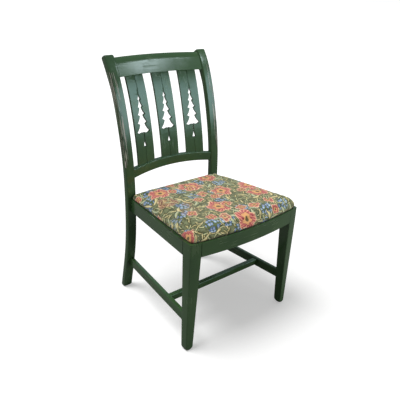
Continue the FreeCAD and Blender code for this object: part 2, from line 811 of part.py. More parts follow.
# Seat: board, foam, cover wrapped round both, dust cloth and staples underneath
board = seat_slab(-cover_thickness, board_low, board_high)
foam = crowned(-cover_thickness, crown_rise - cover_thickness)
cover_skin = crowned(0, crown_rise).cut(foam)
cover_wall = seat_slab(0, ledge, board_high).cut([board, seat_slab(-cover_hem, ledge, board_low)])
cover = one_solid(cover_skin.fuse(cover_wall).removeSplitter())
cloth = seat_slab(-cloth_inset, ledge - cloth_thickness, ledge)


def staples():
    """The crowns of a row of wire staples round the underside, lying on the cloth."""
    bars = []
    path = seat_outline(-(cloth_inset + cover_hem) / 2, ledge - cloth_thickness,
                        front_corner_radius, rear_corner_radius)
    count = int(path.Length / staple_pitch)
    for point, along in ((p, path_direction(path, p)) for p in path.discretize(count + 1)[:-1]):
        half = along * (staple_width / 2)
        turn = math.degrees(math.atan2(along.y, along.x))
        corner = Vector(0, -staple_wire / 2, -staple_wire)
        crown = Part.makeBox(staple_width, staple_wire, staple_wire, corner)
        crown.rotate(Vector(0, 0, 0), Vector(0, 0, 1), turn)
        crown.translate(point - half)
        bars.append(crown)
    return Part.makeCompound(bars)


def path_direction(path, point):
    nearest = min(path.Edges, key=lambda edge: edge.distToShape(Part.Vertex(point))[0])
    return nearest.tangentAt(nearest.Curve.parameter(point)).normalize()


pieces["front_leg_right"] = right_leg_done
pieces["front_leg_left"] = mirrored(right_leg_done)
pieces["back_post_right"] = right_post_done
pieces["back_post_left"] = mirrored(right_post_done)
pieces["front_seat_rail"] = one_solid(front_rail)
pieces["side_seat_rail_right"] = right_side_rail
pieces["side_seat_rail_left"] = mirrored(right_side_rail)
pieces["rear_seat_rail"] = one_solid(rear_rail)
pieces["side_stretcher_right"] = right_stretcher_done
pieces["side_stretcher_left"] = mirrored(right_stretcher_done)
pieces["cross_stretcher"] = cross_stretcher
pieces["crest_rail"] = one_solid(crest)
pieces["lower_back_rail"] = one_solid(lower_rail)
pieces["corner_block_front_right"] = front_block
pieces["corner_block_front_left"] = mirrored(front_block)
pieces["corner_block_rear_right"] = rear_block
pieces["corner_block_rear_left"] = mirrored(rear_block)
pieces["corner_block_screws"] = screws
pieces["seat_board"] = tilted(board)
pieces["seat_foam_pad"] = tilted(foam)
pieces["seat_cover"] = tilted(cover)
pieces["seat_dust_cloth"] = tilted(cloth)
pieces["seat_staples"] = tilted(staples())

# The origin is on the floor, midway between the bowed front and whichever of the tops reaches furthest back
front_most = bow_line(0)
rear_most = max(top.optimalBoundingBox(False, False).YMax for top in (right_post, pieces["crest_rail"]))
to_centre = Vector(0, -(front_most + rear_most) / 2, 0)
for name, shape in pieces.items():
    shape.translate(to_centre)
    if not shape.isValid():
        print("invalid", name)
    print(name, len(shape.Solids), round(shape.Volume))
    shape.exportStep("parts/%s.step" % name)
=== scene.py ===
import math

import bmesh
import bpy
import numpy as np
from mathutils import Matrix, Vector


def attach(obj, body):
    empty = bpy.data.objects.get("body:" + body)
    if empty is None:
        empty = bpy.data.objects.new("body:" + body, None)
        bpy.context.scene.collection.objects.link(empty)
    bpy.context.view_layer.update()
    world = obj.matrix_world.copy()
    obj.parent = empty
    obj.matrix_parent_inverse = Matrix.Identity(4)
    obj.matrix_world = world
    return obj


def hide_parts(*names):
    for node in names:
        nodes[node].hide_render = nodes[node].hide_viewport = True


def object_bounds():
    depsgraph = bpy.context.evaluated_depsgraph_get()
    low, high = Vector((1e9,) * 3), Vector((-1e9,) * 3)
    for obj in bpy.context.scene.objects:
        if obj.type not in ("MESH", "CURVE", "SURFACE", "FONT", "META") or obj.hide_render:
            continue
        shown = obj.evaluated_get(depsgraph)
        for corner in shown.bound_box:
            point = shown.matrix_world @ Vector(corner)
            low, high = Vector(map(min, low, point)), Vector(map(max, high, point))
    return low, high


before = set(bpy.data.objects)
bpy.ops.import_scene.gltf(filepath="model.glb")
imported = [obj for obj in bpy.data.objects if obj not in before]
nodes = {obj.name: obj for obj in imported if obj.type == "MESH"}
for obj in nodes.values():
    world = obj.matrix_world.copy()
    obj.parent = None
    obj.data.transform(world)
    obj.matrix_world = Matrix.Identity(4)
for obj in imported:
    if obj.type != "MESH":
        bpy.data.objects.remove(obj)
cad_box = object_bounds()


# Back posts: two lengths of hardwood, each sawn to one long curve from the raked foot to the rolled top, with
# rounded edges. They are glued to the rails and painted dark green with the rest of the frame, and the paint
# has rubbed through to pale wood along their outer front edges. The long pale streaks beside those edges are
# partly that wear and partly a painted highlight on the rounded fronts.
class Shade:
    """A socket in a material: sums on it add Math nodes, and node() adds any other node."""

    def __init__(self, tree, socket):
        self.tree = tree
        self.socket = socket

    def node(self, kind, settings=None, inputs=None, outlet=0):
        """Adds a node, sets it, feeds its sockets with values or links, and gives one of its outlets."""
        made = self.tree.nodes.new(kind)
        for name, value in (settings or {}).items():
            setattr(made, name, value)
        for name, value in (inputs or {}).items():
            if isinstance(value, Shade):
                self.tree.links.new(value.socket, made.inputs[name])
            else:
                made.inputs[name].default_value = value
        return Shade(self.tree, made.outputs[outlet])

    def sum(self, operation, first, second=0.0):
        return self.node("ShaderNodeMath", {"operation": operation}, {0: first, 1: second})

    def __add__(self, other):
        return self.sum("ADD", self, other)

    __radd__ = __add__

    def __sub__(self, other):
        return self.sum("SUBTRACT", self, other)

    def __rsub__(self, other):
        return self.sum("SUBTRACT", other, self)

    def __mul__(self, other):
        return self.sum("MULTIPLY", self, other)

    def __truediv__(self, other):
        return self.sum("DIVIDE", self, other)

    def __abs__(self):
        return self.sum("ABSOLUTE", self)

    def highest(self, other):
        return self.sum("MAXIMUM", self, other)

    def root(self):
        return self.sum("SQRT", self)

    def wave(self, operation="SINE"):
        return self.sum(operation, self)

    def rise(self, low, high):
        """0 below low, 1 above high, smooth between them; falls where low is the larger."""
        return self.node("ShaderNodeMapRange", {"interpolation_type": "SMOOTHSTEP"},
                         {"Value": self, "From Min": low, "From Max": high})

    def tint(self, first, second):
        """The first colour where this is 0, the second where it is 1."""
        return self.node("ShaderNodeMix", {"data_type": "RGBA"}, {0: self, 6: first, 7: second}, 2)

    def part(self, axis):
        return self.node("ShaderNodeSeparateXYZ", None, {0: self}, axis)

    def times(self, scale):
        return self.node("ShaderNodeVectorMath", {"operation": "MULTIPLY"}, {0: self, 1: scale})

    def moved(self, by):
        return self.node("ShaderNodeVectorMath", {"operation": "ADD"}, {0: self, 1: by})

    def less(self, by):
        return self.node("ShaderNodeVectorMath", {"operation": "SUBTRACT"}, {0: self, 1: by})

    def cloud(self, scale, detail, outlet="Fac"):
        """Noise of a number of lumps to the metre, with finer layers as detail."""
        return self.node("ShaderNodeTexNoise", None, {"Vector": self, "Scale": scale, "Detail": detail},
                         outlet)

    def relief(self, strength, distance):
        """A normal that takes this as the height of the surface."""
        return self.node("ShaderNodeBump", None, {"Strength": strength, "Distance": distance, "Height": self})


def colour(code):
    """A screen colour written as six hex digits, as linear red, green, blue and 1."""
    share = np.array([int(code[i:i + 2], 16) for i in (0, 2, 4)]) / 255
    linear = np.where(share <= 0.04045, share / 12.92, ((share + 0.055) / 1.055) ** 2.4)
    return (*[float(x) for x in linear], 1.0)


def new_material(name):
    """A material, its main shader and the wire that carries the place on the piece."""
    material = bpy.data.materials.new(name)
    material.use_nodes = True
    tree = material.node_tree
    place = Shade(tree, tree.nodes.new("ShaderNodeTexCoord").outputs["Object"])
    return material, tree.nodes["Principled BSDF"], place


def feed(shader, **inputs):
    """Links wires to the shader's sockets, or sets values there; names have underscores for spaces."""
    for name, value in inputs.items():
        socket = shader.inputs[name.replace("_", " ")]
        if isinstance(value, Shade):
            value.tree.links.new(value.socket, socket)
        else:
            socket.default_value = value


paint_body = colour("36522f")
paint_deep = colour("2f4a2b")
paint_chalky = colour("4c6142")
paint_brown = colour("2f2922")
bare_wood = colour("aaa79b")
paint_roughness = 0.17
paint_shine = 0.46
brush_depth = 0.0006
brush_scale = {0: (9.0, 160.0, 160.0), 1: (160.0, 9.0, 160.0), 2: (160.0, 160.0, 9.0)}
chalk_shift = (3.0, 1.0, 2.0)
worn_brown = (0.46, 0.56)
worn_bare = (0.58, 0.68)


def painted(name, along, wear_and_highlight=None, raggedness=0.7):
    """Brushed satin paint on wood: clouded colour, brush lines along the grain, and wear where the given mark
    is high, with a brown edge and a bare core; on the posts and side rails that pale mark is partly a painted
    highlight. Raggedness is how much the brush lines break the wear up."""
    material, shader, place = new_material(name)
    brushed = place.times(brush_scale[along])
    clouds = place.cloud(7.0, 5.0).rise(0.3, 0.7)
    streaks = brushed.cloud(1.0, 4.0)
    chalk = (place.moved(chalk_shift).cloud(16.0, 6.0) + streaks * 0.5).rise(0.78, 1.05)
    tone = clouds.tint(paint_deep, paint_body)
    tone = (chalk * 0.45).tint(tone, paint_chalky)
    roughness = paint_roughness + streaks * 0.08 + chalk * 0.12
    height = streaks * 0.5 + place.cloud(220.0, 2.0) * 0.25
    # The pale mark: wear, and on the posts and side rails partly a painted highlight along their edges.
    if wear_and_highlight is not None:
        rubbed = wear_and_highlight(place) + (brushed.cloud(1.3, 2.0) - 0.5) * raggedness
        core = rubbed.rise(*worn_bare)
        tone = rubbed.rise(*worn_brown).tint(tone, paint_brown)
        tone = core.tint(tone, bare_wood)
        roughness = roughness + core * 0.25
        height = height - core * 0.6
    feed(shader, Base_Color=tone, Roughness=roughness, Normal=height.relief(0.09, brush_depth),
         Specular_IOR_Level=paint_shine)
    return material


def points_of(mesh):
    """All points of a mesh, one to a row."""
    flat = np.empty(len(mesh.vertices) * 3)
    mesh.vertices.foreach_get("co", flat)
    return flat.reshape(-1, 3)


def put_points(mesh, points):
    """Moves the points of a mesh to these rows."""
    mesh.vertices.foreach_set("co", points.astype(np.float32).ravel())
    mesh.update()


def shade_smooth(mesh):
    """Shades every face of a mesh smooth."""
    mesh.polygons.foreach_set("use_smooth", np.ones(len(mesh.polygons), bool))


def placed(name, data):
    """A new object at the origin."""
    made = bpy.data.objects.new(name, data)
    bpy.context.collection.objects.link(made)
    return made


foot_ring_shares = 1 - np.cos(np.linspace(0.2, math.pi / 2, 8))
foot_column_shares = 0.5 - 0.5 * np.cos(np.linspace(0.3, math.pi - 0.3, 13))
foot_inset_share = 0.42
foot_corner = 0.0025
foot_corner_growth = 1.7
weld_distance = 1e-5
level_slack = 1e-6
tiny = 1e-9


def cut_foot(shape, foot):
    """Cuts a leg into rings below a height, with one more at twice that height, and the faces below into
    columns, so that there are points enough to round it."""
    for level in (*foot * foot_ring_shares, 2 * foot):
        whole = shape.verts[:] + shape.edges[:] + shape.faces[:]
        bmesh.ops.bisect_plane(shape, geom=whole, plane_co=(0, 0, level), plane_no=(0, 0, 1))
    top = foot + level_slack
    ends = [vert.co.copy() for vert in shape.verts if vert.co.z < top]
    for axis, normal in enumerate(((1, 0, 0), (0, 1, 0))):
        least = min(end[axis] for end in ends)
        most = max(end[axis] for end in ends)
        for share in foot_column_shares:
            low = [face for face in shape.faces if max(vert.co.z for vert in face.verts) < top]
            cut = dict.fromkeys(item for face in low for item in (face, *face.edges, *face.verts))
            place = [side * (least + (most - least) * share) for side in normal]
            bmesh.ops.bisect_plane(shape, geom=list(cut), plane_co=place, plane_no=normal)


def rounded_foot(points, foot):
    """Points of a leg with those below a height drawn in to a rounded end. The section goes on downwards as
    it runs from twice that height to that height, and is set in by a quarter ellipse while its corners grow
    rounder."""
    upper, lower = [points[abs(points[:, 2] - level) < weld_distance, :2] for level in (2 * foot, foot)]
    down = np.clip(1 - points[:, 2:] / foot, 0, 1)
    inset = foot_inset_share * foot * (1 - np.sqrt(1 - down ** 2))
    least = lower.min(0) + (lower.min(0) - upper.min(0)) * down + inset
    most = lower.max(0) + (lower.max(0) - upper.max(0)) * down - inset
    corner = foot_corner + inset * foot_corner_growth
    middle = (least + most) / 2
    offset = points[:, :2] - middle
    straight = (most - least) / 2 - corner
    beyond = np.maximum(abs(offset) - straight, 0)
    reach = np.maximum(np.linalg.norm(beyond, axis=1, keepdims=True), tiny)
    kept = np.minimum(abs(offset), straight) + beyond * np.minimum(1, corner / reach)
    plan = np.where(down > 0, middle + np.sign(offset) * kept, points[:, :2])
    return np.concatenate([plan, points[:, 2:]], 1)


flat_angle = math.radians(0.4)
smooth_angle = math.radians(28)
arris_angle = math.radians(40)
arris_ease = 0.0005


def finished(node, material, ease=arris_ease, foot=0.0):
    """A merged copy of a sawn piece with its arrises eased and its curves shaded smooth, in place of the
    piece. A foot is rounded over below the height given."""
    mesh = nodes[node].data.copy()
    shape = bmesh.new()
    shape.from_mesh(mesh)
    bmesh.ops.remove_doubles(shape, verts=shape.verts, dist=weld_distance)
    bmesh.ops.dissolve_limit(shape, angle_limit=flat_angle, verts=shape.verts, edges=shape.edges)
    if foot > 0:
        cut_foot(shape, foot)
    shape.to_mesh(mesh)
    shape.free()
    if foot > 0:
        put_points(mesh, rounded_foot(points_of(mesh), foot))
    shade_smooth(mesh)
    mesh.set_sharp_from_angle(angle=smooth_angle)
    mesh.materials.clear()
    mesh.materials.append(material)
    piece = placed(node + "_painted", mesh)
    bevel = piece.modifiers.new("eased", "BEVEL")
    bevel.width = ease
    bevel.segments = 2
    bevel.limit_method = "ANGLE"
    bevel.angle_limit = arris_angle
    bevel.harden_normals = True
    bevel.use_clamp_overlap = True
    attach(piece, "frame")
    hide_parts(node)
    return piece


seat_depth = 0.422
front_bow = 0.0246
rail_top = 0.430
to_centre = cad_box[0][1] + seat_depth + front_bow
post_heights = np.array([0.0, 0.1968, 0.4263, 0.5528, 0.6934, 0.8339, 0.9337])
post_fronts = np.array([0.053, 0.0122, 0.0, 0.0068, 0.0315, 0.072, 0.123]) + to_centre
post_curve = np.polyfit(post_heights, post_fronts, 5)
post_outer = 0.225
post_lean = math.radians(0.5)
post_foot = 0.013
streaks_across = 400.0
streaks_along = 8.0
streak_zone = (0.027, 0.016)
streak_level = 0.42
streak_left_more = 0.04
streak_contrast = 2.0
streak_band_from = (0.47, 0.60)
streak_band_to = (0.92, 0.87)
knocked_top = (0.916, 0.922)
knocked_from = (0.545, 0.552)
knocked_to = (0.580, 0.572)
knock = 0.3
corner_zone = (0.006, 0.001)
corner_level = 0.12


def post_wear_and_highlight(place):
    """High on the rounded outer front arris of a post, with long streaks beside it on the upper half, where
    hands and a wall have rubbed, slightly more on the left post. The streaks are partly that wear and partly
    a painted highlight on the rounded front. A polynomial in height gives the front."""
    x = abs(place.part(0))
    y = place.part(1)
    z = place.part(2)
    left = place.part(0).rise(0.05, -0.05)
    front = z * float(post_curve[0]) + float(post_curve[1])
    for share in post_curve[2:]:
        front = front * z + float(share)
    outer = post_outer + (z - rail_top) * math.tan(post_lean)
    on_front = (outer - x).highest(0.0)
    on_side = (y - front).highest(0.0)
    near = on_front + on_side
    across = (on_front - on_side) * streaks_across
    grain = z.node("ShaderNodeCombineXYZ", None, {0: across, 1: z * streaks_along}).cloud(1.0, 2.0)
    streak_band = z.rise(*streak_band_from) * z.rise(*streak_band_to)
    rubbed = streak_band * (left * streak_left_more + streak_level + (grain - 0.5) * streak_contrast)
    knocked = z.rise(*knocked_top) * knock + z.rise(*knocked_from) * z.rise(*knocked_to) * knock
    return near.rise(*streak_zone) * rubbed + near.rise(*corner_zone) * (corner_level + knocked)


scroll_swell = 0.008
scroll_start = 0.80
scroll_run = 0.085
scroll_turn = 0.910
scroll_turn_run = 0.027
scroll_turn_share = 0.8
scroll_depth = 0.023


def scrolled(points):
    """Points of a post with its rear swelling backwards in an S curve and turning in again at the top."""
    height = points[:, 2]
    depth = np.clip((points[:, 1] - np.polyval(post_curve, height)) / scroll_depth, 0, 1)
    swell = np.clip((height - scroll_start) / scroll_run, 0, 1)
    turn_in = np.clip((height - scroll_turn) / scroll_turn_run, 0, 1)
    back = scroll_swell * swell ** 2 * (3 - 2 * swell) * (1 - scroll_turn_share * turn_in ** 2)
    shaped = points.copy()
    shaped[:, 1] += back * depth
    return shaped


# Post paint: wear at the outer front arrises, and long pale streaks that are partly a painted highlight.
post_paint = painted("post_paint", 2, post_wear_and_highlight, raggedness=0.25)
for side in ("left", "right"):
    post = finished("back_post_" + side, post_paint, foot=post_foot)
    put_points(post.data, scrolled(points_of(post.data)))


# Front legs: square hardwood, straight on their outer sides and tapered below the rails on the other faces,
# least on the front. They are mortised for the rails and stretchers, and the paint is thin at the corners
# and rubbed at the feet.
half_front = 0.253
rail_bottom = 0.378
leg_front_taper = 0.008
leg_foot = 0.018
slight_ease = 0.0002
leg_corner_level = 0.34
sole_zone = (0.018, 0.002)
sole_level = 0.5


def leg_wear(place):
    """High on the outer front corner and the sole of a leg, fading over a few millimetres."""
    z = place.part(2)
    front = to_centre - seat_depth + (rail_bottom - z).highest(0.0) * (leg_front_taper / rail_bottom)
    near = (place.part(1) - front).highest(0.0) + (half_front - abs(place.part(0))).highest(0.0)
    return near.rise(*corner_zone) * leg_corner_level + z.rise(*sole_zone) * sole_level


leg_paint = painted("leg_paint", 2, leg_wear)
for side in ("left", "right"):
    finished("front_leg_" + side, leg_paint, slight_ease, leg_foot)

# Seat rails: four boards tenoned into the legs and posts, rabbeted on their upper inner edges for the seat.
# The front one is bowed and flush with the legs, with a fine joint line at each end.
half_rear = 0.2095
seat_fall = 0.009
side_slope = (half_front - half_rear) / seat_depth
rail_arris_zone = (0.003, 0.0004)
rail_arris_level = 0.5


def rail_wear_and_highlight(place):
    """High on the upper outer arris of a side rail, which runs in and down to the rear, fading over 3 mm. The
    pale line it gives is partly chipped paint and partly a painted highlight on the edge.
    """
    back = place.part(1) - (to_centre - seat_depth)
    outer = half_front - back * side_slope
    top = rail_top - back * (seat_fall / seat_depth)
    near = (outer - abs(place.part(0))).highest(0.0) + (top - place.part(2)).highest(0.0)
    return near.rise(*rail_arris_zone) * rail_arris_level


cross_paint = painted("cross_paint", 0)
# Side rail paint: a broken pale line along the upper outer arris, partly wear and partly a painted highlight.
rail_paint = painted("rail_paint", 1, rail_wear_and_highlight)
finished("front_seat_rail", cross_paint, slight_ease)
finished("rear_seat_rail", cross_paint, slight_ease)
for side in ("left", "right"):
    finished("side_seat_rail_" + side, rail_paint, slight_ease)

# Stretchers: two flat side bars of hardwood, tenoned into the legs and posts, and a cross bar tenoned into
# them, making an H that ties the feet together.
side_paint = painted("side_paint", 1)
for side in ("left", "right"):
    finished("side_stretcher_" + side, side_paint)
finished("cross_stretcher", cross_paint)

# Crest rail and lower back rail: sawn to the curve of the back, the crest rolled over at the top and slightly
# arched, the lower rail more so. Both are tenoned into the posts and housed for the slats.
crest_arch = 0.0024
crest_half = 0.19
crest = finished("crest_rail", cross_paint)
crest_points = points_of(crest.data)
crest_points[:, 2] += crest_arch * np.clip(1 - (crest_points[:, 0] / crest_half) ** 2, 0, 1)
put_points(crest.data, crest_points)
finished("lower_back_rail", cross_paint)

# Slats: six thin boards bent to the back and set in pairs. Half a pine tree is sawn from each inner edge, and
# the pair meets in a narrow groove.
slat_ease = 0.0006
slat_paint = painted("slat_paint", 2)
for pair in ("left", "middle", "right"):
    for half in ("left", "right"):
        finished("slat_%s_pair_%s_half" % (pair, half), slat_paint, slat_ease)

# Corner blocks: four triangular blocks of unpainted softwood, glued and screwed into the corners of the seat
# frame to stiffen it.
growth_across = 38.0
growth_along = 3.0
pore_depth = 0.0005


def sawn_wood(name, pale, dark, along):
    """Unpainted wood: growth lines stretched along the grain, with darker pores."""
    material, shader, place = new_material(name)
    stretch = [growth_across] * 3
    stretch[along] = growth_along
    grain = place.times(tuple(stretch)).cloud(1.6, 5.0)
    lines = (grain * 26.0).wave() * 0.5 + 0.5
    pores = place.times(tuple(9.0 * s for s in stretch)).cloud(1.0, 2.0).rise(0.55, 0.75)
    tone = (lines * 0.6 + pores * 0.35).tint(pale, dark)
    feed(shader, Base_Color=tone, Roughness=0.62 + pores * 0.2,
         Normal=(lines - pores).relief(0.25, pore_depth))
    return material


def dress(node, material):
    """Gives a CAD piece that keeps its shape its material."""
    nodes[node].data.materials.clear()
    nodes[node].data.materials.append(material)


block_wood = sawn_wood("block_wood", colour("c9a877"), colour("9c7747"), 0)
for end in ("front", "rear"):
    for side in ("left", "right"):
        dress("corner_block_%s_%s" % (end, side), block_wood)


# Screws and staples: steel rod and wire, zinc-plated and dulled by handling. The screws hold the corner
# blocks, and the staples hold the dust cloth under the seat.
def plated_steel(name):
    """Zinc-plated steel, clouded with smut."""
    material, shader, place = new_material(name)
    smut = place.cloud(300.0, 4.0)
    tone = smut.rise(0.4, 0.75).tint(colour("b9bbbd"), colour("7f7c76"))
    feed(shader, Base_Color=tone, Roughness=0.28 + smut * 0.3, Metallic=1.0)
    return material


steel = plated_steel("plated_steel")
dress("corner_block_screws", steel)
dress("seat_staples", steel)

# Seat board: a panel of plywood that lies in the rabbet of the rails. It carries the padding, and the cover
# is stapled to its underside.
dress("seat_board", sawn_wood("plywood", colour("d0b288"), colour("b08d5e"), 0))

# Seat cushion: a foam pad on the board under a tightly drawn tapestry cover, its edges rolled over and its
# crown full. The cover goes round the board's edge and is stapled underneath.
rabbet_depth = 0.010
cover_thickness = 0.0012
board_thickness = 0.009
ledge = rail_top - rabbet_depth
board_low = ledge + cover_thickness
board_high = board_low + board_thickness
edge_margin = 0.007
rear_gap = 0.007
front_round = 0.016
rear_round = 0.010
bow_radius = (half_front ** 2 + front_bow ** 2) / (2 * front_bow)
bow_centre = bow_radius - seat_depth - front_bow
side_turn = math.atan(side_slope)


def seat_ring(grow, front_radius, rear_radius):
    """Plan outline of the seat grown by a distance: rear line, sides and bowed front joined by corner arcs.
    Rows run once round from the middle of the rear."""
    def side_x(y, out):
        return half_front - (y + seat_depth) * side_slope - (edge_margin - out) / math.cos(side_turn)

    rear = -rear_gap + grow
    inner = grow - front_radius
    reach = bow_radius - edge_margin + inner
    offset = side_x(bow_centre, inner)
    steep = 1 + side_slope ** 2
    lean = side_slope * offset
    down = (lean - math.sqrt(lean ** 2 - steep * (offset ** 2 - reach ** 2))) / steep
    front_pivot = np.array([offset - side_slope * down, bow_centre + down])
    rear_pivot = np.array([side_x(rear - rear_radius, grow - rear_radius), rear - rear_radius])
    bow_turn = math.atan2(down, front_pivot[0])

    def arc(centre, radius, start, end, count):
        turn = np.linspace(start, end, count)
        return np.array(centre) + radius * np.stack([np.cos(turn), np.sin(turn)], 1)

    rear_arc = arc(rear_pivot, rear_radius, math.pi / 2, side_turn, 9)
    front_arc = arc(front_pivot, front_radius, side_turn, bow_turn, 13)
    rear_line = np.linspace([0.0, rear], rear_arc[0], 20)
    side_line = np.linspace(rear_arc[-1], front_arc[0], 42)
    bow_arc = arc((0.0, bow_centre), reach + front_radius, bow_turn, -math.pi / 2, 26)
    right = np.concatenate([rear_line, rear_arc[1:], side_line[1:], front_arc[1:], bow_arc[1:]])
    left = right[-2:0:-1] * np.array([-1.0, 1.0])
    return np.concatenate([right, left])


ring_weld = 1e-6


def ring_mesh(name, rings, closed):
    """A piece from rings of points that follow each other; closed joins the last ring to the first."""
    count = rings.shape[1]
    rows = np.arange(rings.shape[0])
    first = rows if closed else rows[:-1]
    second = np.roll(rows, -1) if closed else rows[1:]
    here = np.arange(count)
    there = np.roll(here, -1)
    faces = np.stack([first[:, None] * count + here, first[:, None] * count + there,
                      second[:, None] * count + there, second[:, None] * count + here], -1).reshape(-1, 4)
    mesh = bpy.data.meshes.new(name)
    mesh.from_pydata(rings.reshape(-1, 3).tolist(), [], faces.tolist())
    shape = bmesh.new()
    shape.from_mesh(mesh)
    bmesh.ops.remove_doubles(shape, verts=shape.verts, dist=ring_weld)
    bmesh.ops.recalc_face_normals(shape, faces=shape.faces)
    shape.to_mesh(mesh)
    shape.free()
    shade_smooth(mesh)
    return placed(name, mesh)


def at_height(ring, z):
    """A plan outline set at a height."""
    return np.concatenate([ring, np.full((len(ring), 1), z)], 1)


def laid_down(points):
    """Points drawn on a level seat, turned about the front to lie on the falling rails, in their place."""
    turn = math.atan(seat_fall / seat_depth)
    y = points[:, 1] + seat_depth
    z = points[:, 2] - rail_top
    return np.stack([points[:, 0], y * math.cos(turn) + z * math.sin(turn) - seat_depth + to_centre,
                     z * math.cos(turn) - y * math.sin(turn) + rail_top], 1)


cushion_rise = 0.0333
wall_share = 0.3
side_swell = 0.006
side_tuck = 0.0015
roll_inset = 0.030
roll_shift_share = 0.85
round_growth_share = 0.15
crown_tilt = math.radians(1.38)
filling_rings = 14


def cushion_rings():
    """Rings from the middle of the base, up the side and over the roll, an ellipse in section, then shrinking
    to the middle of the crown."""
    wall = cushion_rise * wall_share
    turn = np.linspace(0, math.pi / 2, 16)
    heights = np.concatenate([[0.0, wall / 2], wall + (cushion_rise - wall) * np.sin(turn)])
    roll = (roll_inset + side_swell) * (1 - np.cos(turn)) - side_swell
    insets = np.concatenate([[0.0, -side_swell], roll]) + side_tuck
    rings = []
    for height, inset in zip(heights, insets):
        inward = max(inset, 0)
        wider = inward * round_growth_share
        ring = at_height(seat_ring(-inset, front_round + wider, rear_round + wider), board_high + height)
        ring[:, 1] -= inward * roll_shift_share
        ring[:, 2] -= (ring[:, 1] + rear_gap) * math.tan(crown_tilt * height / cushion_rise)
        rings.append(ring)
    middle = rings[-1].mean(0)
    below = np.array([middle[0], middle[1], board_high])
    base = [below + (rings[0] - below) * share for share in np.linspace(0, 1, filling_rings)[:-1]]
    crown = [middle + (rings[-1] - middle) * share for share in np.linspace(1, 0, filling_rings)[1:]]
    return np.array(base + rings + crown)


voxel = 0.005
held_band = 0.003
pressure = 4.0
swelling_steps = 20
least_cap = 0.001
crown_cap = 0.006
cushion = ring_mesh("seat_cushion", cushion_rings(), False)
bpy.context.view_layer.objects.active = cushion
cushion.select_set(True)
cushion.data.remesh_voxel_size = voxel
bpy.ops.object.voxel_remesh()
start = points_of(cushion.data)
up_share = np.clip((start[:, 2] - board_high - held_band) / (cushion_rise - held_band), 0, 1)
held = cushion.vertex_groups.new(name="held")
held.add(np.flatnonzero(up_share <= 0).tolist(), 1.0, "REPLACE")
cloth = cushion.modifiers.new("cloth", "CLOTH")
cloth.settings.vertex_group_mass = "held"
cloth.settings.use_pressure = True
cloth.settings.uniform_pressure_force = pressure
cloth.settings.effector_weights.gravity = 0.0
cloth.point_cache.frame_start = 1
cloth.point_cache.frame_end = swelling_steps
for step in range(1, swelling_steps + 1):
    bpy.context.scene.frame_set(step)
swollen = cushion.evaluated_get(bpy.context.evaluated_depsgraph_get()).to_mesh()
move = points_of(swollen) - start
cushion.modifiers.remove(cloth)
cushion.vertex_groups.clear()
bpy.context.scene.frame_set(1)
length = np.maximum(np.linalg.norm(move, axis=1), tiny)
cap = least_cap + crown_cap * up_share
put_points(cushion.data, start + move * np.minimum(1, cap / length)[:, None])
finer = cushion.modifiers.new("finer", "SUBSURF")
finer.levels = 1
finer.render_levels = 1
bpy.ops.object.modifier_apply(modifier="finer")
cushion.select_set(False)
put_points(cushion.data, laid_down(points_of(cushion.data)))
shade_smooth(cushion.data)
edge_blend = 0.006
roll_height = 0.024


def lay_cloth(piece):
    """Stores where each point lies on the flat cloth: its place in plan, pushed out from the nearest edges by
    its drop below the roll, so that the pattern runs on down the sides. The third number is the height above
    the rails."""
    points = points_of(piece.data)
    x = points[:, 0]
    y = points[:, 1] - to_centre
    width = half_front - (y + seat_depth) * side_slope - edge_margin
    from_front = y - bow_centre + np.sqrt(bow_radius ** 2 - x ** 2)
    away = np.stack([width - x, width + x, -rear_gap - y, from_front], 1)
    pull = np.exp(-away / edge_blend)
    pull /= pull.sum(1)[:, None]
    outward = pull @ np.array([[1, 0], [-1, 0], [0, 1], [0, -1]])
    rail = rail_top - seat_fall * (y + seat_depth) / seat_depth
    roll = rail + roll_height - (y + rear_gap) * math.tan(crown_tilt)
    drop = np.clip(roll - points[:, 2], 0, None)[:, None]
    flat = np.concatenate([points[:, :2] + outward * drop, (points[:, 2] - rail)[:, None]], 1)
    spread = piece.data.attributes.new("cloth", "FLOAT_VECTOR", "POINT")
    spread.data.foreach_set("vector", flat.astype(np.float32).ravel())


thread_pitch = 0.0013
thread_depth = 0.0006
vein_pitch = 0.0058
floret_radius = 0.0064
florets_per_metre = 78.0
soft_edge = 0.0003
crisp_edge = 0.0002
chance_blur = 0.02
any_turn = 6.28
painted_base_shadow = (0.0062, 0.0030)
outline_ink = colour("24210f")
sage = colour("b4c59e"), colour("6c7d56")
cream = colour("f8edba"), colour("b3a466")
olive = colour("c6bb78"), colour("736b3d")
mist = colour("c8d6ba"), colour("7b8b65")


